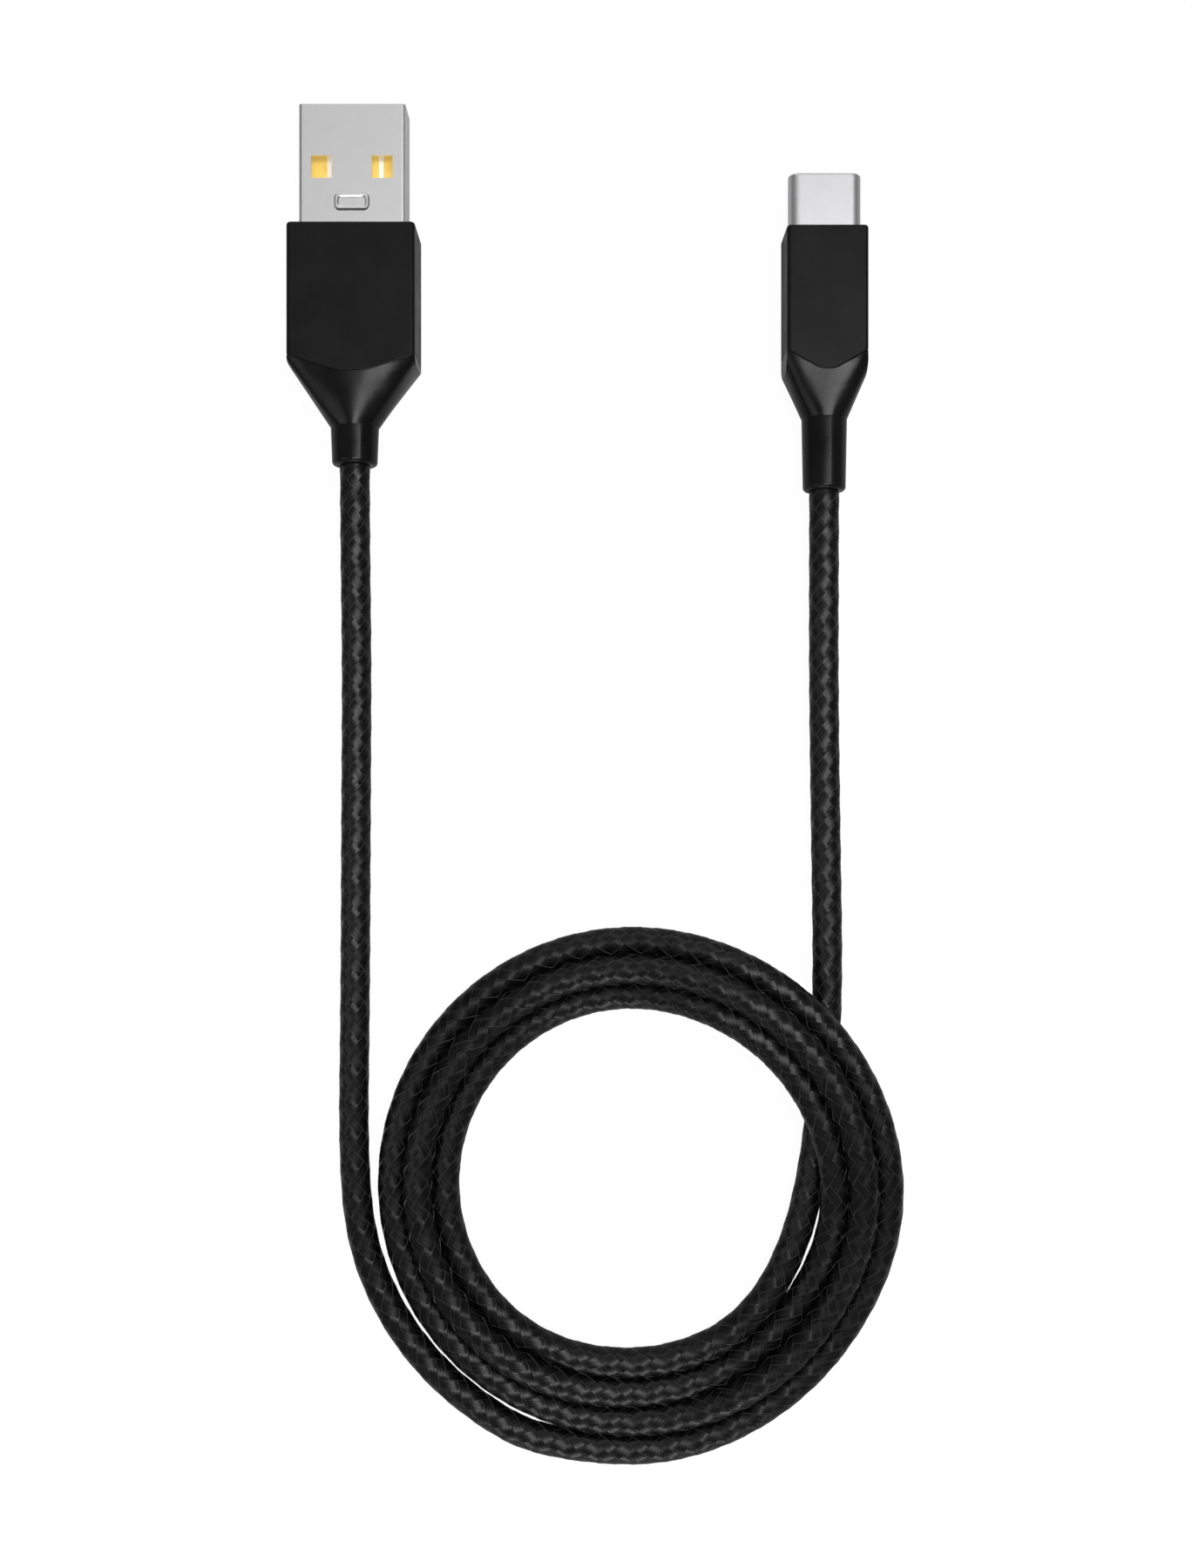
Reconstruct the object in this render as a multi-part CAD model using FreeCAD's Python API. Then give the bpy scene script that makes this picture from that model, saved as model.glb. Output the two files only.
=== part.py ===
"""A braided USB-A to USB-C charging cable, laid flat with its slack in a coil.

Millimetres. +X runs across the two plugs from the USB-A to the USB-C plug, +Y points the
way both plugs face, and +Z is up. The origin is on the table, under the middle of the box
that holds the two plugs.
"""
import FreeCAD, Part
import math
import os

Vec = FreeCAD.Vector
UP = Vec(0, 0, 1)
ALONG = Vec(0, 1, 0)

# ---- driving dimensions ----
front_y = 7.95            # front face of both housings

a_x, a_mid = -25.45, 3.6  # USB-A plug: centre line across, and its mid height
a_width, a_thick = 14.4, 7.2
a_shell_w, a_shell_t, a_wall = 12.0, 4.5, 0.3
a_reach = 13.6            # shell standing out of the housing
a_shell_back = -8.0
a_seam_side, a_seam_mid, a_seam_flat = 14.95, 16.72, 1.75
a_taper_end, a_collar_end = 22.4, 26.7
a_collar_r = 2.72
a_root_r, a_root_front = 2.1, -17.2          # strain relief root, held in the boot
a_mould_w, a_mould_t, a_mould_rear = 11.8, 5.2, -16.4
a_rim_r = 0.4
a_boot_section = (8.0, 3.93, 9.0, 0.085)     # half width, half depth, squareness, slope
a_jacket_end = -12.6      # where the jacket is stripped
a_cup_y = (-9.4, -8.5)    # solder on the contact tails

c_x, c_mid = 28.05, 3.1   # USB-C plug
c_width, c_thick = 9.2, 6.2
c_shell_w, c_shell_t, c_wall = 8.25, 2.4, 0.2
c_reach = 6.5
c_shell_back = -4.6
c_seam_side, c_seam_mid = 13.95, 16.2
c_taper_end, c_collar_end = 21.3, 29.5
c_collar_r = 2.58
c_root_r, c_root_front = 2.05, -16.9
c_mould_w, c_mould_t, c_mould_rear = 7.2, 4.4, -15.6
c_rim_r = 0.35
c_boot_section = (5.95, 3.36, 5.0, 0.0)
c_jacket_end = -12.9
c_can_w, c_can_t, c_can_rear, c_can_wall = 8.1, 3.5, -10.4, 0.2
c_board_w, c_board_t, c_board_y = 7.4, 0.76, (-9.6, -5.0)
c_slot_w, c_slot_t = 6.2, 0.84

cord_d = 3.4              # over the braid
core_d = 2.5              # jacket under the braid
wire_d = 0.66             # insulated conductors
bore_gap = 0.02           # moulded round what it holds
mould_gap = 0.03          # between the inner mould and the housing round it
long_edge_r = 0.5         # the plugs' long outer edges
root_gap = 0.02           # strain relief root in the boot
seam_gap = 0.02
seam_lip = 0.12           # bevel on the front housing's rear edge
relief_lip = 0.45         # rounding where the cable leaves the strain relief
relief_taper = 0.94

coil_x, coil_y = 6.11, -101.28
coil_r0, coil_pitch = 20.75, 3.0
coil_turns = 3
stack = 1.45              # how much the middle turn rides above its neighbours
hump = 3.45               # lift where the coil crosses over the USB-C lead
hump_from, hump_to = 8.0, 48.0       # full lift between these directions, in degrees
hump_start, hump_end = -35.0, 105.0  # and none outside these

# Routes of the two leads, from the plug's strain relief to the coil.
lead_a_route = [
    (-25.45, -18.75, 3.60), (-25.45, -27.5, 3.45), (-25.50, -41.0, 1.80),
    (-25.62, -60.0, 1.70), (-25.70, -80.0, 1.72), (-25.95, -97.5, 1.70),
    (-25.05, -107.5, 1.70), (-21.85, -115.5, 1.70), (-16.85, -122.3, 1.70),
    (-10.35, -127.6, 1.70), (-4.60, -130.5, 1.70),
]
lead_c_route = [
    (28.05, -21.55, 3.10), (28.05, -30.5, 2.95), (28.20, -43.0, 1.75),
    (28.42, -60.0, 1.70), (28.72, -78.0, 1.72), (28.10, -90.0, 1.70),
    (27.05, -99.0, 1.70), (25.20, -107.0, 1.70), (21.90, -113.9, 1.70),
    (17.20, -118.6, 1.70),
]


# ---- helpers ----
def save(shape, node):
    solids = shape.Solids
    assert solids and shape.isValid(), node
    shape = solids[0] if len(solids) == 1 else Part.makeCompound(solids)
    shape.exportStep("parts/" + node + ".step")
    print("%-24s solids %2d volume %9.3f" % (node, len(solids), shape.Volume))


def box(x0, x1, y0, y1, z0, z1):
    return Part.makeBox(x1 - x0, y1 - y0, z1 - z0, Vec(x0, y0, z0))


def rounded_box(x0, x1, y0, y1, z0, z1, radius):
    """A box with its four edges along Y rounded."""
    solid = box(x0, x1, y0, y1, z0, z1)
    long_edges = [e for e in solid.Edges if abs(e.Length - (y1 - y0)) < 1e-6
                  and abs(e.tangentAt(0).y) > 0.99]
    return solid.makeFillet(radius, long_edges)


def rod(radius, y0, y1, x=0.0, z=0.0):
    return Part.makeCylinder(radius, y1 - y0, Vec(x, y0, z), ALONG)


def rounded_edges(points, share=0.45, report=None):
    """Straight runs joined by tangent arcs as large as the two runs allow."""
    pts = [Vec(*p) for p in points]
    edges, start = [], pts[0]
    for before, corner, after in zip(pts, pts[1:], pts[2:]):
        way_in = (corner - before).normalize()
        way_out = (after - corner).normalize()
        turn = way_in.getAngle(way_out)
        shorter = min((corner - before).Length, (after - corner).Length)
        cut = share * shorter
        radius = cut / math.tan(turn / 2)
        if report is not None:
            report.append(radius)
        first, last = corner - way_in * cut, corner + way_out * cut
        to_centre = (way_out - way_in).normalize()
        middle = corner + to_centre * (radius / math.cos(turn / 2) - radius)
        edges.append(Part.makeLine(start, first))
        edges.append(Part.Arc(first, middle, last).toShape())
        start = last
    edges.append(Part.makeLine(start, pts[-1]))
    return edges


def tube(points, diameter, name=None):
    radii = []
    path = Part.Wire(rounded_edges(points, report=radii))
    begin = Vec(*points[0])
    way = (Vec(*points[1]) - begin).normalize()
    ring = Part.Wire(Part.makeCircle(diameter / 2, begin, way))
    solid = path.makePipeShell([ring], True, False)
    if name:
        share = solid.Volume / (math.pi * diameter ** 2 / 4 * path.Length)
        print(name, "length %.1f, volume over section x length %.4f, arc radii" %
              (path.Length, share), ["%.0f" % r for r in radii])
    return solid


def in_plug(shape, plug_x, mid):
    """From a plug's own frame, front face and mid plane at 0, to the part's frame."""
    return shape.translated(Vec(plug_x, front_y, mid))


def seam_tool(points, half_depth, rear):
    """Everything behind a seam line that is drawn across the plug's broad face."""
    edges = rounded_edges([(x, -s, -half_depth) for x, s in points], 0.3)
    left, right = points[0][0], points[-1][0]
    corners = [(right, -points[-1][1]), (right, -rear), (left, -rear), (left, -points[0][1])]
    back = [Vec(x, y, -half_depth) for x, y in corners]
    edges += [Part.makeLine(p, q) for p, q in zip(back, back[1:])]
    return Part.Face(Part.Wire(edges)).extrude(UP * (2 * half_depth))


def oval_wire(half_w, half_t, power, pitch, y, count=72):
    """A closed smooth outline between a box and an ellipse; pitch slopes its broad sides."""
    points = []
    for i in range(count):
        angle = 2 * math.pi * i / count
        c, s = math.cos(angle), math.sin(angle)
        reach = (abs(c) ** power + abs(s) ** power) ** (-1.0 / power)
        across = reach * c
        drop = 1 - pitch * max(0.0, abs(across) - 0.25)
        points.append(Vec(half_w * across, y, half_t * reach * s * drop))
    curve = Part.BSplineCurve()
    steps = [float(i) for i in range(count + 1)]
    curve.interpolate(Points=points, PeriodicFlag=True, Parameters=steps)
    return Part.Wire(curve.toShape())


def prism(width, thick, rear, rim_r):
    """The housing's outer block, with soft long edges and a softer front rim."""
    block = rounded_box(-width / 2, width / 2, -rear, 0, -thick / 2, thick / 2, long_edge_r)
    rim = [e for e in block.Edges if e.BoundBox.YMin > -1e-6]
    return block.makeFillet(rim_r, rim)


def collar(radius, begin, end):
    """A strain relief sleeve: a slim cone, rounded at the lip that the cable leaves."""
    cone = Part.makeCone(radius, radius * relief_taper, end - begin, Vec(0, -begin, 0),
                         -ALONG)
    lip_edge = [e for e in cone.Edges if abs(e.BoundBox.YMax + end) < 1e-6]
    return cone.makeFillet(relief_lip, lip_edge)


def strain_relief(radius, begin, end, root_r, root_front):
    """The sleeve and its root in the boot, bored for the jacket."""
    whole = collar(radius, begin, end).fuse(rod(root_r, -begin, root_front))
    return whole.cut(rod(core_d / 2 + bore_gap, -end - 1, root_front + 1))


def mould_block(width, thick, y0, y1, gap=0.0):
    half_w, half_t = width / 2 + gap, thick / 2 + gap
    return rounded_box(-half_w, half_w, y0 - gap, y1, -half_t, half_t, 0.8)


def wire_run(points):
    return tube(points, wire_d)


# ---- USB-A plug, in its own frame ----
def a_shell():
    half_w, half_t = a_shell_w / 2, a_shell_t / 2
    outer = rounded_box(-half_w, half_w, a_shell_back, a_reach, -half_t, half_t, 0.4)
    inner = rounded_box(-half_w + a_wall, half_w - a_wall, a_shell_back - 1, a_reach + 1,
                        -half_t + a_wall, half_t - a_wall, 0.2)
    shell = outer.cut(inner)
    window_w, window_l, window_x, window_y = 2.35, 2.55, 3.4, 6.55
    for side in (-1, 1):
        x0 = side * window_x - window_w / 2
        shell = shell.cut(box(x0, x0 + window_w, window_y - window_l / 2,
                              window_y + window_l / 2, -half_t - 1, half_t + 1))
    seam = box(-0.04, 0.04, a_shell_back - 1, a_reach + 1, -half_t - 1, 0)
    shell = shell.cut(seam)
    for side in (-1, 1):
        shell = shell.fuse(a_pressing(side * half_t, side))
    bite = box(-0.9, 0.9, a_shell_back - 1, a_shell_back + 1.6, half_t - 1, half_t + 1)
    return shell.cut(bite)


def soft_block(width, length, y, z, height, side, corner, slope):
    """A low block on a plate's face, with round corners and a sloped top edge."""
    z0, z1 = sorted((z - side * 0.1, z + side * height))
    block = box(-width / 2, width / 2, y - length / 2, y + length / 2, z0, z1)
    uprights = [e for e in block.Edges if abs(e.tangentAt(0).z) > 0.99]
    block = block.makeFillet(corner, uprights)
    top = z + side * height
    rim = [e for e in block.Edges
           if abs(e.BoundBox.ZMin - top) < 1e-5 and abs(e.BoundBox.ZMax - top) < 1e-5]
    return block.makeChamfer(slope, rim)


def a_pressing(z, side):
    """The raised rim that is pressed out of the shell behind its windows."""
    y = 2.6
    rim = soft_block(4.0, 2.0, y, z, 0.24, side, 0.6, 0.2)
    pan = soft_block(3.3, 1.3, y, z + side * 0.26, 0.2, -side, 0.45, 0.18)
    return rim.cut(pan)


tongue_top = -0.35        # the white carrier's upper face, with the contacts let into it
contact_t = 0.28
a_contacts = {            # (inner edge, outer edge) of the wide part, then the front pad
    "usb_a_contact_vbus": (3.2, 5.1, 3.0, 4.0, 1),
    "usb_a_contact_data_plus": (0.45, 2.7, 0.5, 1.5, -1),
    "usb_a_contact_data_minus": (0.45, 2.7, 0.5, 1.5, 1),
    "usb_a_contact_ground": (3.2, 5.1, 3.0, 4.0, -1),
}


def a_contact(inner, outer, pad_in, pad_out, side):
    top = tongue_top + 0.02
    low = top - contact_t
    wide = box(inner, outer, 3.6, 8.9, low, top)
    pad = box(pad_in, pad_out, 8.9, a_reach - 1.1, low, top)
    tail_mid = (pad_in + pad_out) / 2
    tail = box(tail_mid - 0.45, tail_mid + 0.45, -9.4, 3.6, low, top)
    nose_cut = box(0, 6, a_reach - 1.3, a_reach, low - 1, low + 0.06)
    strip = wide.fuse([pad, tail]).removeSplitter().cut(nose_cut)
    if side < 0:
        strip = strip.mirror(Vec(0, 0, 0), Vec(1, 0, 0))
    return strip


def a_carrier(contacts):
    half_w = a_shell_w / 2 - a_wall - 0.03
    low = -a_shell_t / 2 + a_wall + 0.03
    tongue = box(-half_w, half_w, 1.0, a_reach - 0.6, low, tongue_top)
    block = box(-half_w, half_w, a_shell_back + 0.4, 1.0, low, -low)
    shelf = box(-4.6, 4.6, a_shell_back - 1.9, a_shell_back + 0.4, low, tongue_top)
    solid = tongue.fuse([block, shelf]).removeSplitter()
    lead_in = [e for e in solid.Edges if e.BoundBox.YMin > a_reach - 0.61 and e.Length > 5]
    solid = solid.makeChamfer(0.3, lead_in)
    bed = [c.makeOffsetShape(bore_gap, 1e-3) for c in contacts]
    return solid.cut(bed)


def boot_body(width, thick, seam, seam_side, taper_end, section, end_r):
    block = rounded_box(-width / 2, width / 2, -taper_end, 0, -thick / 2, thick / 2,
                        long_edge_r)
    behind = block.common(seam_tool(seam, thick, taper_end + 5))
    wide = oval_wire(*section, -seam_side + 0.4)
    round_end = oval_wire(end_r, end_r, 2.0, 0.0, -taper_end)
    return behind.common(Part.makeLoft([wide, round_end], True, True))


a_seam = [(-a_width / 2 - 1, a_seam_side - 0.35), (-a_seam_flat, a_seam_mid),
          (a_seam_flat, a_seam_mid), (a_width / 2 + 1, a_seam_side - 0.35)]
c_seam = [(-c_width / 2 - 1, c_seam_side - 0.45), (-0.9, c_seam_mid + 0.05),
          (0.9, c_seam_mid + 0.05), (c_width / 2 + 1, c_seam_side - 0.45)]


def front_housing(width, thick, seam, mid, rim_r, mouth):
    block = prism(width, thick, mid + 4, rim_r)
    shifted = [(x, s - seam_gap) for x, s in seam]
    block = block.cut(seam_tool(shifted, thick, mid + 10))
    side_s = min(s for x, s in shifted)
    rear = [e for e in block.Edges if e.BoundBox.YMax < -side_s + 0.3]
    return block.makeChamfer(seam_lip, rear).cut(mouth)


def usb_a():
    parts = {}
    parts["usb_a_shell"] = a_shell()
    contacts = {name: a_contact(*spec) for name, spec in a_contacts.items()}
    parts.update(contacts)
    parts["usb_a_contact_carrier"] = a_carrier(list(contacts.values()))
    crimp_r = core_d / 2 + 0.3
    barrel = rod(crimp_r, -16.2, -13.2).cut(rod(core_d / 2 + bore_gap, -17, -12))
    strap = box(-1.5, 1.5, -13.6, -8.2, -1.9, -1.65)
    parts["usb_a_shield_crimp"] = barrel.fuse(
        [strap, box(-1.5, 1.5, -13.6, -13.2, -1.9, -1.35)]).removeSplitter()
    parts["usb_a_cable_end"] = rod(core_d / 2, -a_collar_end, a_jacket_end)
    ends = {"usb_a_wire_red": (3.5, 1), "usb_a_wire_white": (1.0, 1),
            "usb_a_wire_green": (-1.0, -1), "usb_a_wire_black": (-3.5, -1)}
    for name, (x, side) in ends.items():
        start_x = 0.5 * side
        start_z = 0.45 if abs(x) < 2 else -0.45
        rest_z = tongue_top + 0.04 + wire_d / 2
        parts[name] = wire_run([(start_x, a_jacket_end + 0.02, start_z),
                                (start_x, a_jacket_end + 0.7, start_z),
                                (x, -10.6, rest_z), (x, -8.3, rest_z + 0.02)])
    joints = [rod(0.42, *a_cup_y, x, tongue_top + 0.02) for x, _ in ends.values()]
    solder = joints[0].fuse(joints[1:])
    solder = solder.common(box(-6, 6, -10, -8, tongue_top + 0.03, 2))
    parts["usb_a_solder"] = solder.cut([parts[name] for name in ends])
    parts["usb_a_strain_relief"] = strain_relief(a_collar_r, a_taper_end, a_collar_end,
                                                 a_root_r, a_root_front)
    core = mould_block(a_mould_w, a_mould_t, a_mould_rear, a_shell_back - mould_gap)
    inside = [s for n, s in parts.items() if n != "usb_a_strain_relief"]
    parts["usb_a_inner_mould"] = core.cut(inside)
    mouth = [rounded_box(-a_shell_w / 2 - bore_gap, a_shell_w / 2 + bore_gap, a_shell_back,
                         1, -a_shell_t / 2 - bore_gap, a_shell_t / 2 + bore_gap, 0.4),
             mould_block(a_mould_w, a_mould_t, -20, a_shell_back + 0.01, mould_gap)]
    parts["usb_a_housing"] = front_housing(a_width, a_thick, a_seam, a_seam_mid,
                                           a_rim_r, mouth)
    boot = boot_body(a_width, a_thick, a_seam, a_seam_side, a_taper_end,
                     a_boot_section, a_collar_r)
    parts["usb_a_boot"] = boot.cut([
        rod(a_root_r + root_gap, -a_taper_end - 1, a_root_front),
        rod(core_d / 2 + bore_gap, a_root_front - 0.1, -10),
        mould_block(a_mould_w, a_mould_t, a_mould_rear, a_shell_back, mould_gap)])
    return parts


# ---- USB-C plug, in its own frame ----
def stadium(width, thick, y0, y1, x=0.0, z=0.0):
    half = width / 2 - thick / 2
    ends = [rod(thick / 2, y0, y1, x + side * half, z) for side in (-1, 1)]
    return ends[0].fuse([ends[1], box(x - half, x + half, y0, y1, z - thick / 2,
                                      z + thick / 2)]).removeSplitter()


def c_shell():
    outer = stadium(c_shell_w, c_shell_t, c_shell_back, c_reach)
    tip = [e for e in outer.Edges if e.BoundBox.YMin > c_reach - 1e-6]
    outer = outer.makeFillet(0.3, tip)
    bore = stadium(c_shell_w - 2 * c_wall, c_shell_t - 2 * c_wall, c_shell_back - 1,
                   c_reach - c_wall)
    mouth = stadium(c_shell_w - 0.9, c_shell_t - 0.76, c_reach - 1, c_reach + 1)
    return outer.cut([bore, mouth])


upper_row = (-2.75, -1.25, -0.75, -0.25, 0.25, 1.25, 2.75)
lower_row = (-2.75, -1.25, 0.75, 1.25, 2.75)


def c_contacts(row, side):
    """Spring contacts that lean in to the slot; side is +1 above the slot, -1 below."""
    beam = [(-5.4, 0.40), (1.4, 0.40), (3.9, 0.30), (4.7, 0.40), (4.7, 0.55),
            (3.9, 0.46), (1.4, 0.55), (-5.4, 0.55)]
    wire = Part.makePolygon([Vec(0, y, side * z) for y, z in beam + beam[:1]])
    blade = Part.Face(wire).extrude(Vec(0.24, 0, 0))
    return Part.makeCompound([blade.translated(Vec(x - 0.12, 0, 0)) for x in row])


def c_latch():
    """The latch plate: a web behind the slot with one spring arm down each side."""
    web = box(-3.6, 3.6, -4.4, -3.9, -0.11, 0.11)
    arms = []
    for side in (-1, 1):
        beam = [(-3.9, 3.18), (3.6, 3.24), (4.3, 3.05), (4.9, 3.22), (4.9, 3.38),
                (3.6, 3.42), (-3.9, 3.42)]
        wire = Part.makePolygon([Vec(side * x, y, -0.11) for y, x in beam + beam[:1]])
        arms.append(Part.Face(wire).extrude(UP * 0.22))
    return web.fuse(arms).removeSplitter()


def c_ground_spring(side):
    """A thin plate against the front moulding with four tongues cut in it."""
    z0, z1 = sorted((side * 0.92, side * 0.98))
    plate = box(-2.9, 2.9, 1.2, 4.7, z0, z1)
    slots = []
    for i in range(4):
        x = -2.1 + 1.4 * i
        slots += [box(x - 0.36, x - 0.26, 2.2, 4.4, z0 - 1, z1 + 1),
                  box(x + 0.26, x + 0.36, 2.2, 4.4, z0 - 1, z1 + 1),
                  box(x - 0.36, x + 0.36, 4.3, 4.4, z0 - 1, z1 + 1)]
    return plate.cut(slots)


def usb_c():
    parts = {}
    parts["usb_c_shell"] = c_shell()
    parts["usb_c_contacts_upper"] = c_contacts(upper_row, 1)
    parts["usb_c_contacts_lower"] = c_contacts(lower_row, -1)
    parts["usb_c_latch"] = c_latch()
    parts["usb_c_ground_spring_upper"] = c_ground_spring(1)
    parts["usb_c_ground_spring_lower"] = c_ground_spring(-1)
    body = stadium(c_shell_w - 2 * c_wall - 0.04, c_shell_t - 2 * c_wall - 0.04,
                   c_shell_back - 0.3, c_reach - 0.4)
    slot = box(-c_slot_w / 2, c_slot_w / 2, -3.6, c_reach, -c_slot_t / 2, c_slot_t / 2)
    arm_room = [box(min(s * 2.9, s * 3.5), max(s * 2.9, s * 3.5), -4.5, 5.3, -0.16, 0.16)
                for s in (-1, 1)]
    web_room = box(-3.6, 3.6, -4.5, -3.5, -0.14, 0.14)
    grooves = [box(x - 0.15, x + 0.15, -6, 5.1, min(s * 0.3, s * 0.6), max(s * 0.3, s * 0.6))
               for s, row in ((1, upper_row), (-1, lower_row)) for x in row]
    plates = [box(-2.95, 2.95, 1.15, 4.75, min(s * 0.9, s * 1.1), max(s * 0.9, s * 1.1))
              for s in (-1, 1)]
    parts["usb_c_contact_carrier"] = body.cut([slot, web_room] + arm_room + grooves + plates)
    board = box(-c_board_w / 2, c_board_w / 2, *c_board_y, -c_board_t / 2, c_board_t / 2)
    parts["usb_c_circuit_board"] = board.makeFillet(
        0.3, [e for e in board.Edges if abs(e.Length - c_board_t) < 1e-6])
    chip = box(2.0, 3.0, -8.0, -7.5, c_board_t / 2 + 0.01, c_board_t / 2 + 0.36)
    parts["usb_c_pullup_resistor"] = chip
    can_front = c_shell_back - 0.02
    can_w, can_t = c_can_w / 2, c_can_t / 2
    can = rounded_box(-can_w, can_w, c_can_rear, can_front, -can_t, can_t, 0.5)
    hollow = rounded_box(-can_w + c_can_wall, can_w - c_can_wall, c_can_rear + c_can_wall,
                         can_front + 0.6, -can_t + c_can_wall, can_t - c_can_wall, 0.4)
    cable_hole = box(-1.9, 1.9, c_can_rear - 1, c_can_rear + 0.4, -0.95, 0.95)
    parts["usb_c_shield_can"] = can.cut([hollow, cable_hole])
    parts["usb_c_cable_end"] = rod(core_d / 2, -c_collar_end, c_jacket_end)
    ends = {"usb_c_wire_red": -1.5, "usb_c_wire_white": -0.5,
            "usb_c_wire_green": 0.5, "usb_c_wire_black": 1.5}
    face = c_board_t / 2 + 0.02 + wire_d / 2
    for i, (name, x) in enumerate(ends.items()):
        from_x = (-0.72, -0.36, 0.36, 0.72)[i]
        from_z = (-0.2, 0.6, 0.6, -0.2)[i]
        parts[name] = wire_run([(from_x, c_jacket_end + 0.02, from_z),
                                (from_x * 1.05, c_jacket_end + 0.9, from_z + 0.01),
                                (x, -10.3, face - 0.12), (x, -8.4, face)])
    joints = [rod(0.4, -8.9, -7.7, x, c_board_t / 2 + 0.1) for x in ends.values()]
    solder = joints[0].fuse(joints[1:]).common(
        box(-3, 3, -9, -7, c_board_t / 2 + 0.01, 3))
    parts["usb_c_solder"] = solder.cut([parts[name] for name in ends])
    parts["usb_c_strain_relief"] = strain_relief(c_collar_r, c_taper_end, c_collar_end,
                                                 c_root_r, c_root_front)
    core = mould_block(c_mould_w, c_mould_t, c_mould_rear, c_can_rear - 0.02)
    inside = [parts["usb_c_cable_end"]] + [parts[name] for name in ends]
    parts["usb_c_inner_mould"] = core.cut(inside)
    mouth = [stadium(c_shell_w + 2 * bore_gap, c_shell_t + 2 * bore_gap, -4.7, 1),
             rounded_box(-can_w - mould_gap, can_w + mould_gap, c_can_rear - 0.01,
                         c_shell_back, -can_t - mould_gap, can_t + mould_gap, 0.5),
             mould_block(c_mould_w, c_mould_t, -20, c_can_rear, mould_gap)]
    parts["usb_c_housing"] = front_housing(c_width, c_thick, c_seam, c_seam_mid,
                                           c_rim_r, mouth)
    boot = boot_body(c_width, c_thick, c_seam, c_seam_side, c_taper_end,
                     c_boot_section, c_collar_r)
    parts["usb_c_boot"] = boot.cut([
        rod(c_root_r + root_gap, -c_taper_end - 1, c_root_front),
        rod(core_d / 2 + bore_gap, c_root_front - 0.1, -10),
        mould_block(c_mould_w, c_mould_t, c_mould_rear, -8, mould_gap)])
    return parts


# ---- the cord ----
def smooth(t):
    t = max(0.0, min(1.0, t))
    return 0.5 - 0.5 * math.cos(math.pi * t)


def lift(direction):
    """How high the coil's underside rides, by direction from its centre in degrees."""
    direction = (direction + 180) % 360 - 180
    if direction < hump_from:
        return hump * smooth((direction - hump_start) / (hump_from - hump_start))
    return hump * smooth((hump_end - direction) / (hump_end - hump_to))


def coil_solid(keep_clear):
    """The coil's outer shape: an eight-sided section that widens where the leads join."""
    count = 48
    outlines = [[] for _ in range(8)]
    for i in range(count):
        wound = 360.0 * i / count
        direction = -90 - wound
        first = coil_r0 + coil_pitch * wound / 360
        last = first + coil_pitch * (coil_turns - 1)
        near_end = smooth((wound - 320) / 40)
        inner = first - cord_d / 2 - coil_pitch * near_end - 0.3 * near_end
        after_start = smooth((40 - wound) / 40)
        outer = last + cord_d / 2 + (coil_pitch + 0.3) * after_start
        low = lift(direction)
        high = low + cord_d + stack
        soft = cord_d / 3
        section = [(inner + soft, low), (outer - soft, low), (outer, low + soft),
                   (outer, high - stack - soft), (outer - cord_d, high),
                   (inner + cord_d, high), (inner, high - stack - soft), (inner, low + soft)]
        a = math.radians(direction)
        for outline, (r, z) in zip(outlines, section):
            outline.append(Vec(coil_x + r * math.cos(a), coil_y + r * math.sin(a), z))
    edges = []
    steps = [float(i) for i in range(count + 1)]
    for outline in outlines:
        curve = Part.BSplineCurve()
        curve.interpolate(Points=outline, PeriodicFlag=True, Parameters=steps)
        edges.append(curve.toShape())
    faces = [Part.makeRuledSurface(edges[i], edges[(i + 1) % 8]) for i in range(8)]
    shell = Part.makeShell(faces)
    shell.sewShape()
    ring = Part.makeSolid(shell)
    if ring.Volume < 0:
        ring.reverse()
    return ring.cut(keep_clear)


def cord():
    room = cord_d + 0.1
    return {
        "cord_lead_usb_a": tube(lead_a_route, cord_d, "cord_lead_usb_a"),
        "cord_lead_usb_c": tube(lead_c_route, cord_d, "cord_lead_usb_c"),
        "cord_coil": coil_solid([tube(lead_a_route, room), tube(lead_c_route, room)]),
    }


os.makedirs("parts", exist_ok=True)
for node, shape in usb_a().items():
    save(in_plug(shape, a_x, a_mid), node)
for node, shape in usb_c().items():
    save(in_plug(shape, c_x, c_mid), node)
for node, shape in cord().items():
    save(shape, node)
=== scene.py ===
"""Looks for the braided charging cable: camera, lights, the braided cord, and materials."""
import math

import bpy
import numpy as np
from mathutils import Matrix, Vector


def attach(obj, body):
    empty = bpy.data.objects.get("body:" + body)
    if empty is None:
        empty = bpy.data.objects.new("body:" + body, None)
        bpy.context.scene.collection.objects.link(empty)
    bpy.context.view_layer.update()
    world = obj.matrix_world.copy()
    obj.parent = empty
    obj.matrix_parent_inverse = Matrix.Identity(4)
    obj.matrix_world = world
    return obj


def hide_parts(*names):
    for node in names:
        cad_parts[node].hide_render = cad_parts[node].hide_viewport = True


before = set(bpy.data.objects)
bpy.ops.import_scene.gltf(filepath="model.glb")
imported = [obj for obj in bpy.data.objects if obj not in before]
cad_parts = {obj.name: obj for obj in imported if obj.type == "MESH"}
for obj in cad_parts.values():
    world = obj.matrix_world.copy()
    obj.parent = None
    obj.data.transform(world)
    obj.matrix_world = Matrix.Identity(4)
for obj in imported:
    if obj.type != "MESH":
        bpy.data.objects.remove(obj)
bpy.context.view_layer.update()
MM = 0.001


# ---- camera: straight above, between the plugs and the coil ----
camera_lens = 36.0
camera_sensor = 36.0
camera_at = (0.0016, -0.05495, 0.1822)


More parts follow.
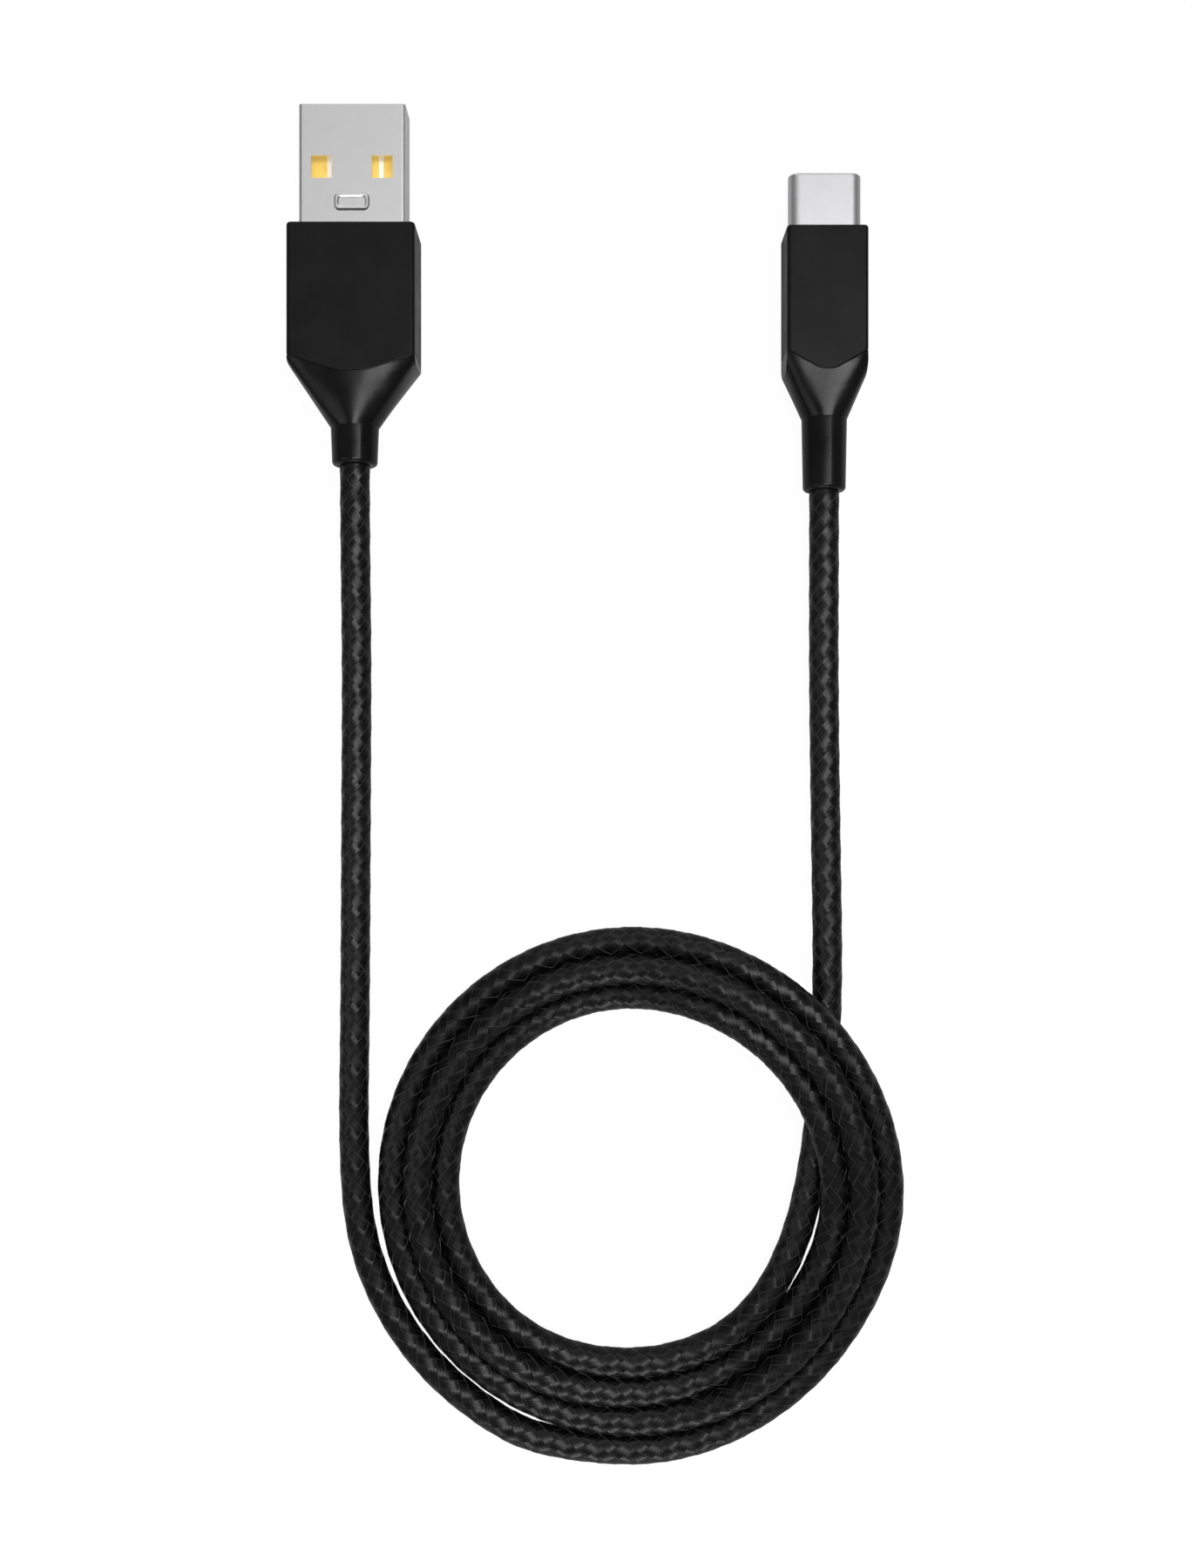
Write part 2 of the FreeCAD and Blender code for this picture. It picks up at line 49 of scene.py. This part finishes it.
def make_camera():
    camera = bpy.data.cameras.new("camera")
    camera.lens = camera_lens
    camera.sensor_width = camera_sensor
    holder = bpy.data.objects.new("camera", camera)
    holder.location = camera_at
    bpy.context.scene.collection.objects.link(holder)
    bpy.context.scene.camera = holder


# ---- the cord's route, in millimetres and degrees ----
cord_d = 3.4              # over the braid
coil_x, coil_y = 6.11, -101.28
coil_r0, coil_pitch, coil_turns = 20.75, 3.0, 3
points_per_turn = 24
extra_points = 2          # past the last full turn
stack = 1.45              # how much the middle turn rides above its neighbours
stack_from, stack_to = 358.0, 722.0  # the middle turn's start and end, as angle wound
stack_ease = 45.0         # it climbs and drops within this angle
hump = 3.45               # lift where the coil crosses over the USB-C lead
hump_from, hump_to = 8.0, 48.0       # full lift between these directions
hump_start, hump_end = -35.0, 105.0  # and none outside these
fan = 0.32                # how much further apart the turns lie where the leads join
fan_reach = 45.0          # to each side of that place
nestle = 0.06             # how far the raised turn presses against the one inside it
nestle_full, nestle_reach = 36.0, 96.0  # in full this far to each side, and until there

# Routes of the two leads, from the plug's strain relief to the coil.
lead_a_route = [
    (-25.45, -18.75, 3.60), (-25.45, -27.5, 3.45), (-25.50, -41.0, 1.80),
    (-25.62, -60.0, 1.70), (-25.70, -80.0, 1.72), (-25.95, -97.5, 1.70),
    (-25.05, -107.5, 1.70), (-21.85, -115.5, 1.70), (-16.85, -122.3, 1.70),
    (-10.35, -127.6, 1.70), (-4.60, -130.5, 1.70),
]
lead_c_route = [
    (28.05, -21.55, 3.10), (28.05, -30.5, 2.95), (28.20, -43.0, 1.75),
    (28.42, -60.0, 1.70), (28.72, -78.0, 1.72), (28.10, -90.0, 1.70),
    (27.05, -99.0, 1.70), (25.20, -107.0, 1.70), (21.90, -113.9, 1.70),
    (17.20, -118.6, 1.70),
]

steps_per_span = 12       # of the smooth line, between two points of the route
tube_detail = 6
shortest_step = 1e-9      # nearer points of the line count as one


def smooth(t):
    """An even rise from 0 to 1."""
    t = max(0.0, min(1.0, t))
    return 0.5 - 0.5 * math.cos(math.pi * t)


def lift(direction):
    """How high the coil's underside rides, by direction from its centre in degrees."""
    direction = (direction + 180) % 360 - 180
    if direction < hump_from:
        return hump * smooth((direction - hump_start) / (hump_from - hump_start))
    return hump * smooth((hump_end - direction) / (hump_end - hump_to))


def coil_points():
    """Control points of the turns, from the outermost at the USB-A side inwards."""
    outset = 1 / math.cos(math.pi / points_per_turn)
    points = []
    for i in range(coil_turns * points_per_turn + extra_points):
        wound = 360.0 * coil_turns - i * 360.0 / points_per_turn
        direction = -90 - wound
        aside = abs((wound + 180) % 360 - 180)
        at_bottom = smooth(1 - aside / fan_reach)
        near_bottom = smooth((nestle_reach - aside) / (nestle_reach - nestle_full))
        middle = smooth((wound - stack_from) / stack_ease)
        middle *= smooth((stack_to - wound) / stack_ease)
        spread = fan * (wound / 360 - coil_turns / 2) * at_bottom
        spread -= nestle * near_bottom * middle
        r = (coil_r0 + coil_pitch * wound / 360 + spread) * outset
        z = cord_d / 2 + stack * middle + lift(direction)
        a = math.radians(direction)
        points.append((coil_x + r * math.cos(a), coil_y + r * math.sin(a), z))
    return points


def route_points():
    return lead_a_route + coil_points() + lead_c_route[::-1]


def route_curve(name, bevel):
    """The whole route as a NURBS curve, thickened to the radius bevel, in metres."""
    data = bpy.data.curves.new(name, "CURVE")
    data.dimensions = "3D"
    points = route_points()
    spline = data.splines.new("NURBS")
    spline.points.add(len(points) - 1)
    for point, (x, y, z) in zip(spline.points, points):
        point.co = (x * MM, y * MM, z * MM, 1.0)
    spline.order_u = 3
    spline.use_endpoint_u = True
    spline.resolution_u = steps_per_span
    data.bevel_depth = bevel
    data.bevel_resolution = tube_detail
    return data


def route_line():
    """The route's smooth line, as points in metres."""
    holder = bpy.data.objects.new("route", route_curve("route", 0.0))
    bpy.context.scene.collection.objects.link(holder)
    mesh = bpy.data.meshes.new_from_object(holder)
    line = np.array([v.co for v in mesh.vertices], dtype=float)
    bpy.data.objects.remove(holder)
    bpy.data.meshes.remove(mesh)
    return line


class Line:
    """A path with a steady frame along it, read at any length."""

    def __init__(self, points):
        steps = np.linalg.norm(np.diff(points, axis=0), axis=1)
        keep = np.concatenate([[True], steps > shortest_step])
        points = points[keep]
        steps = np.linalg.norm(np.diff(points, axis=0), axis=1)
        self.at = np.concatenate([[0.0], np.cumsum(steps)])
        self.length = self.at[-1]
        self.points = points
        tangents = np.gradient(points, self.at, axis=0)
        tangents /= np.linalg.norm(tangents, axis=1, keepdims=True)
        normal = np.array([0.0, 0.0, 1.0])
        normals = []
        for tangent in tangents:
            normal = normal - tangent * normal.dot(tangent)
            normal /= np.linalg.norm(normal)
            normals.append(normal)
        self.normals = np.array(normals)
        self.sides = np.cross(tangents, self.normals)

    def read(self, table, at):
        """The values of a table of the line's points at a length along the path."""
        return np.stack([np.interp(at, self.at, table[:, k]) for k in range(3)], axis=-1)

    def place(self, at, angle, radius):
        """Points at a length along the path, an angle round it and a radius."""
        centre = self.read(self.points, at)
        normal = self.read(self.normals, at)
        side = self.read(self.sides, at)
        around = np.cos(angle)[..., None] * normal + np.sin(angle)[..., None] * side
        return centre + radius[..., None] * around


# ---- the braided sleeve: flat bundles that run both ways, over two and under two ----
carriers = 8              # bundles each way
braid_lead = 14.6 * MM    # length in which a bundle goes once round
bundle_w = 1.06 * MM
bundle_t = 0.04 * MM
weave_depth = 0.045 * MM  # half of what a bundle drops by to pass under another
mid_radius = 1.65 * MM
jacket_radius = 1.50 * MM
proud = 0.035 * MM        # bundles of one direction stand a little higher
weave_drop = 7.0          # how sharply a bundle changes between over and under
samples_per_lead = 60
crease = math.radians(32) # sharper edges than this are shaded as edges
uv_pitch = 2.0 * MM       # each bundle's strip of the texture map, across
uv_shift = 0.37           # and how far each strip is moved along, in metres

# A bundle's cross-section: places across its half width, and heights in its thickness.
section_across = np.array([-1.0, -0.93, 0.0, 0.93, 1.0])
section_crown = np.array([-1.5, 0.8, 0.5, 0.8, -1.5])


def weave_height(crossing):
    """+1 where a bundle runs over, -1 where it runs under, by crossings passed."""
    return np.tanh(weave_drop * np.cos(np.pi / 2 * (crossing - 0.5)))


def braid(line, turning, name):
    """All bundles of one direction as one piece: turning is 1 to the right, -1 to the left."""
    slope = math.atan2(2 * math.pi * mid_radius, braid_lead)
    skew = carriers * (math.cos(slope) / (2 * math.pi * mid_radius)
                       - math.sin(slope) / braid_lead)
    count = round(line.length / braid_lead * samples_per_lead) + 1
    at = np.linspace(0.0, line.length, count)
    reach = section_across * bundle_w / 2
    columns = len(section_across)
    vertices, faces, where = [], [], []
    for i in range(carriers):
        angle = 2 * np.pi * (i / carriers + turning * at / braid_lead)
        s = at[:, None] - turning * reach[None, :] * math.sin(slope)
        s = np.clip(s, 0.0, line.length)
        a = angle[:, None] + reach[None, :] * math.cos(slope) / mid_radius
        passed = 2 * carriers * at[:, None] / braid_lead + turning * skew * reach[None, :]
        height = turning * weave_height(passed) - 1
        r = mid_radius + weave_depth * height + bundle_t * section_crown[None, :]
        r = r + (proud if turning > 0 else 0.0)
        vertices.append(line.place(s, a, r).reshape(-1, 3))
        rows = np.arange(count - 1)[:, None] * columns + np.arange(columns - 1)
        quads = np.stack([rows, rows + 1, rows + columns + 1, rows + columns], -1)
        faces.append(quads.reshape(-1, 4) + i * count * columns)
        along = np.broadcast_to(at[:, None] + uv_shift * i, s.shape)
        spread = np.broadcast_to(reach[None, :] + uv_pitch * i, s.shape)
        where.append(np.stack([spread, along], -1).reshape(-1, 2))
    faces = np.concatenate(faces)
    if turning < 0:
        faces = faces[:, ::-1]
    return mesh_piece(name, np.concatenate(vertices), faces, np.concatenate(where))


def mesh_piece(name, vertices, faces, where):
    """A piece of four-sided faces; where holds each vertex's place in the texture map."""
    mesh = bpy.data.meshes.new(name)
    mesh.vertices.add(len(vertices))
    mesh.vertices.foreach_set("co", vertices.ravel())
    mesh.loops.add(faces.size)
    mesh.loops.foreach_set("vertex_index", faces.ravel().astype(np.int32))
    mesh.polygons.add(len(faces))
    mesh.polygons.foreach_set("loop_start", np.arange(0, faces.size, 4, dtype=np.int32))
    mesh.polygons.foreach_set("use_smooth", np.ones(len(faces), dtype=bool))
    mesh.update(calc_edges=True)
    mesh.validate()
    mesh.set_sharp_from_angle(angle=crease)
    layer = mesh.uv_layers.new(name="bundle")
    layer.data.foreach_set("uv", where[faces.ravel()].astype(np.float32).ravel())
    piece = bpy.data.objects.new(name, mesh)
    bpy.context.scene.collection.objects.link(piece)
    return piece


def core_tube(radius):
    """The jacket under the braid, as a mesh that follows the route."""
    holder = bpy.data.objects.new("core_route", route_curve("core_route", radius))
    bpy.context.scene.collection.objects.link(holder)
    mesh = bpy.data.meshes.new_from_object(holder)
    bpy.data.objects.remove(holder)
    for polygon in mesh.polygons:
        polygon.use_smooth = True
    core = bpy.data.objects.new("cord_core", mesh)
    bpy.context.scene.collection.objects.link(core)
    return core


def make_cord():
    line = Line(route_line())
    core = core_tube(jacket_radius)
    bundles = [braid(line, 1, "cord_braid_right"), braid(line, -1, "cord_braid_left")]
    for piece in [core] + bundles:
        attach(piece, "root")
    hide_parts("cord_lead_usb_a", "cord_lead_usb_c", "cord_coil")
    return core, bundles


# ---- materials ----
drawn_grain = (1, 0.3, 1)            # noise stretched along the plugs
strand_stretch = (1.0, 0.045, 1.0)   # and noise stretched along the bundles
yarn_dark = (0.0006, 0.0006, 0.0006)
yarn_light = (0.0058, 0.0058, 0.0062)
painted_edge_glint = (0.034, 0.034, 0.035)    # painted highlight: a lighter colour along both edges of each bundle, for their glints
moulding_black = (0.0035, 0.0035, 0.0038)


def shader(name, base, rough, metal=0.0, gloss=0.5, glow=0.0):
    """A new material with these constants, its node tree and its main shader."""
    mat = bpy.data.materials.new(name)
    mat.use_nodes = True
    tree = mat.node_tree
    main = tree.nodes["Principled BSDF"]
    main.inputs["Base Color"].default_value = (*base, 1)
    main.inputs["Roughness"].default_value = rough
    main.inputs["Metallic"].default_value = metal
    main.inputs["Specular IOR Level"].default_value = gloss
    # glow: the surface emits its base colour; on the contacts and the white carrier this is
    # painted light
    main.inputs["Emission Color"].default_value = (*base, 1)
    main.inputs["Emission Strength"].default_value = glow
    return mat, tree, main


def noise(tree, scale, detail, stretch=(1, 1, 1)):
    """Noise fixed to the piece, from 0 to 1; scale is in waves per metre."""
    where = tree.nodes.new("ShaderNodeTexCoord")
    fit = tree.nodes.new("ShaderNodeMapping")
    fit.inputs["Scale"].default_value = stretch
    cloud = tree.nodes.new("ShaderNodeTexNoise")
    cloud.inputs["Scale"].default_value = scale
    cloud.inputs["Detail"].default_value = detail
    tree.links.new(where.outputs["Object"], fit.inputs["Vector"])
    tree.links.new(fit.outputs["Vector"], cloud.inputs["Vector"])
    return cloud.outputs["Fac"]


def ramp(tree, value, low, high, start=0.3, end=0.7):
    """value from start to end gives a colour or number from low to high."""
    node = tree.nodes.new("ShaderNodeValToRGB")
    tree.links.new(value, node.inputs["Fac"])
    for element, place, shade in zip(node.color_ramp.elements, (start, end), (low, high)):
        element.position = place
        element.color = (*shade, 1) if isinstance(shade, tuple) else (shade,) * 3 + (1,)
    return node.outputs["Color"]


def bump(tree, main, value, strength, distance):
    """Fine relief whose height, in metres, follows value."""
    node = tree.nodes.new("ShaderNodeBump")
    node.inputs["Strength"].default_value = strength
    node.inputs["Distance"].default_value = distance
    tree.links.new(value, node.inputs["Height"])
    tree.links.new(node.outputs["Normal"], main.inputs["Normal"])


def metal(name, base, rough, amount=1.0, glow=0.0):
    """Plated sheet with a faint drawn grain and small changes in roughness."""
    mat, tree, main = shader(name, base, rough, metal=amount, glow=glow)
    fine = noise(tree, 6000.0, 2.0, drawn_grain)
    cloudy = noise(tree, 500.0, 3.0)
    darker = tuple(c * 0.97 for c in base)
    tree.links.new(ramp(tree, cloudy, darker, base), main.inputs["Base Color"])
    tree.links.new(ramp(tree, fine, rough - 0.02, rough + 0.02), main.inputs["Roughness"])
    bump(tree, main, fine, 0.004, 0.001 * MM)
    return mat


def plastic(name, base, rough, lighter=1.3, gloss=0.5, glow=0.0):
    """Moulded plastic with a fine spark-eroded skin."""
    mat, tree, main = shader(name, base, rough, gloss=gloss, glow=glow)
    skin = noise(tree, 5200.0, 4.0)
    cloudy = noise(tree, 260.0, 3.0)
    light = tuple(min(1.0, c * lighter) for c in base)
    tree.links.new(ramp(tree, cloudy, base, light), main.inputs["Base Color"])
    tree.links.new(ramp(tree, cloudy, rough - 0.05, rough + 0.05), main.inputs["Roughness"])
    bump(tree, main, skin, 0.04, 0.01 * MM)
    return mat


def edge_glint_mask(tree, uv):
    """Where the painted edge highlight goes: 1 along both edges of a bundle and 0 over the
    rest of its width.
    """
    apart = tree.nodes.new("ShaderNodeSeparateXYZ")
    tree.links.new(uv, apart.inputs["Vector"])
    fold = tree.nodes.new("ShaderNodeMath")
    fold.operation = "PINGPONG"
    fold.inputs[1].default_value = uv_pitch / 2
    tree.links.new(apart.outputs["X"], fold.inputs[0])
    scale = tree.nodes.new("ShaderNodeMath")
    scale.operation = "DIVIDE"
    scale.inputs[1].default_value = bundle_w / 2
    tree.links.new(fold.outputs[0], scale.inputs[0])
    return ramp(tree, scale.outputs[0], 0.0, 1.0, 0.87, 0.94)


def nylon(name):
    """Black multifilament yarn: fine strands along each bundle, and a painted highlight along
    its edges.
    """
    mat, tree, main = shader(name, yarn_light, 0.45, gloss=0.2)
    where = tree.nodes.new("ShaderNodeUVMap")
    where.uv_map = "bundle"
    fit = tree.nodes.new("ShaderNodeMapping")
    fit.inputs["Scale"].default_value = strand_stretch
    strands = tree.nodes.new("ShaderNodeTexNoise")
    strands.inputs["Scale"].default_value = 7500.0
    strands.inputs["Detail"].default_value = 1.0
    tree.links.new(where.outputs["UV"], fit.inputs["Vector"])
    tree.links.new(fit.outputs["Vector"], strands.inputs["Vector"])
    value = strands.outputs["Fac"]
    blend = tree.nodes.new("ShaderNodeMix")
    blend.data_type = "RGBA"
    blend.inputs["B"].default_value = (*painted_edge_glint, 1)
    # painted highlight: the bundle edges take the lighter glint colour
    tree.links.new(edge_glint_mask(tree, where.outputs["UV"]), blend.inputs["Factor"])
    tree.links.new(ramp(tree, value, yarn_dark, yarn_light, 0.42, 0.76), blend.inputs["A"])
    tree.links.new(blend.outputs["Result"], main.inputs["Base Color"])
    tree.links.new(ramp(tree, value, 0.28, 0.42), main.inputs["Roughness"])
    bump(tree, main, value, 0.35, 0.04 * MM)
    return mat


def dress(material, *nodes):
    """Give every material slot of these CAD nodes one material."""
    for node in nodes:
        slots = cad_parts[node].material_slots
        for i in range(len(slots)):
            slots[i].material = material


def dress_cord(core, bundles):
    yarn = nylon("nylon_yarn")
    for piece in bundles:
        piece.data.materials.append(yarn)
    core.data.materials.append(plastic("cord_jacket", (0.006, 0.006, 0.006), 0.6))


def dress_metals():
    dress(metal("nickel_plate", (0.65, 0.65, 0.65), 0.36), "usb_a_shell")
    # painted shade: a darker copy of the nickel plate for the USB-C shell, which catches more
    # of the panel light
    dress(metal("nickel_plate_shaded", (0.57, 0.57, 0.58), 0.38), "usb_c_shell")
    # painted light: the gold contacts glow so that they look lit inside the shell
    dress(metal("gold_plate", (1.0, 0.70, 0.17), 0.35, amount=0.5, glow=0.3),
          "usb_a_contact_vbus", "usb_a_contact_data_plus", "usb_a_contact_data_minus",
          "usb_a_contact_ground", "usb_c_contacts_upper", "usb_c_contacts_lower")
    dress(metal("spring_steel", (0.62, 0.62, 0.63), 0.3), "usb_a_shield_crimp",
          "usb_c_latch", "usb_c_ground_spring_upper", "usb_c_ground_spring_lower",
          "usb_c_shield_can")
    dress(metal("solder", (0.68, 0.69, 0.7), 0.28), "usb_a_solder", "usb_c_solder")


def dress_mouldings():
    # painted light: the white carrier glows so that it looks brightly lit inside the shell
    dress(plastic("white_nylon", (0.95, 0.95, 0.94), 0.42, lighter=1.03, glow=0.3),
          "usb_a_contact_carrier")
    dress(plastic("black_nylon", (0.02, 0.02, 0.021), 0.4), "usb_c_contact_carrier")
    dress(plastic("inner_mould", (0.74, 0.74, 0.70), 0.5, lighter=1.05),
          "usb_a_inner_mould", "usb_c_inner_mould")
    dress(plastic("housing_black", moulding_black, 0.38, gloss=0.13),
          "usb_a_housing", "usb_c_housing")
    dress(plastic("boot_black", moulding_black, 0.23, gloss=0.14), "usb_a_boot",
          "usb_c_boot", "usb_a_strain_relief", "usb_c_strain_relief")
    dress(plastic("solder_mask", (0.012, 0.11, 0.045), 0.3), "usb_c_circuit_board")
    dress(plastic("chip_body", (0.02, 0.02, 0.022), 0.35), "usb_c_pullup_resistor")


def dress_wires():
    dress(plastic("jacket_rubber", (0.012, 0.012, 0.012), 0.55), "usb_a_cable_end",
          "usb_c_cable_end")
    wires = {"red": (0.55, 0.02, 0.02), "white": (0.8, 0.8, 0.79),
             "green": (0.02, 0.3, 0.06), "black": (0.015, 0.015, 0.015)}
    for colour, base in wires.items():
        skin = plastic("wire_" + colour, base, 0.3, lighter=1.1)
        dress(skin, "usb_a_wire_" + colour, "usb_c_wire_" + colour)


# ---- stage ----
floor_size = 3.0
floor_drop = 0.00002      # just under the object, so that the two faces don't meet
floor_paper = (0.45, 0.45, 0.45)
floor_white = 1.06        # brightness of the floor's white, which only the camera sees
floor_blend = 0.9         # and how much of it the camera sees
room_strength = 0.2
middle_of_row = (0, -0.055, 0)
between_plugs = (0, 0, 0)


def area_light(name, place, size, power, aim):
    data = bpy.data.lights.new(name, "AREA")
    data.shape = "RECTANGLE"
    data.size, data.size_y = size
    data.energy = power
    holder = bpy.data.objects.new(name, data)
    bpy.context.scene.collection.objects.link(holder)
    holder.location = place
    way = Vector(aim) - Vector(place)
    holder.rotation_euler = way.to_track_quat("-Z", "Y").to_euler()


def make_floor():
    """A plain pale floor that takes soft shadows and is near white to the camera."""
    x, y, z = middle_of_row
    bpy.ops.mesh.primitive_plane_add(size=floor_size, location=(x, y, z - floor_drop))
    floor = bpy.context.object
    floor.name = "floor"
    mat, tree, main = shader("floor_paper", floor_paper, 0.9)
    glow = tree.nodes.new("ShaderNodeEmission")
    glow.inputs["Strength"].default_value = floor_white
    seen = tree.nodes.new("ShaderNodeLightPath")
    share = tree.nodes.new("ShaderNodeMath")
    share.operation = "MULTIPLY"
    share.inputs[1].default_value = floor_blend
    mix = tree.nodes.new("ShaderNodeMixShader")
    out = tree.nodes["Material Output"]
    tree.links.new(seen.outputs["Is Camera Ray"], share.inputs[0])
    tree.links.new(share.outputs[0], mix.inputs[0])
    tree.links.new(main.outputs[0], mix.inputs[1])
    tree.links.new(glow.outputs[0], mix.inputs[2])
    tree.links.new(mix.outputs[0], out.inputs["Surface"])
    floor.data.materials.append(mat)


def make_world():
    """Weak even light from all round, with a white backdrop for the camera."""
    world = bpy.data.worlds.new("studio")
    bpy.context.scene.world = world
    world.use_nodes = True
    tree = world.node_tree
    room = tree.nodes["Background"]
    room.inputs["Color"].default_value = (1, 1, 1, 1)
    room.inputs["Strength"].default_value = room_strength
    backdrop = tree.nodes.new("ShaderNodeBackground")
    backdrop.inputs["Color"].default_value = (1, 1, 1, 1)
    seen = tree.nodes.new("ShaderNodeLightPath")
    mix = tree.nodes.new("ShaderNodeMixShader")
    tree.links.new(seen.outputs["Is Camera Ray"], mix.inputs[0])
    tree.links.new(room.outputs[0], mix.inputs[1])
    tree.links.new(backdrop.outputs[0], mix.inputs[2])
    tree.links.new(mix.outputs[0], tree.nodes["World Output"].inputs["Surface"])


def make_lights():
    area_light("key", (0.10, -0.03, 0.42), (0.10, 0.30), 1.4, middle_of_row)
    area_light("fill", (-0.45, -0.15, 0.40), (0.20, 0.40), 0.5, middle_of_row)
    area_light("panel", (0.0, 0.20, 0.42), (0.50, 0.22), 0.19, between_plugs)
    area_light("rim", (0.0, 0.40, 0.22), (0.50, 0.10), 0.6, (0, -0.08, 0))
    area_light("front", (0.0, -0.60, 0.22), (0.40, 0.04), 1.5, between_plugs)


make_camera()
core, bundles = make_cord()
dress_cord(core, bundles)
dress_metals()
dress_mouldings()
dress_wires()
make_floor()
make_world()
make_lights()
bpy.context.scene.view_settings.view_transform = "Standard"
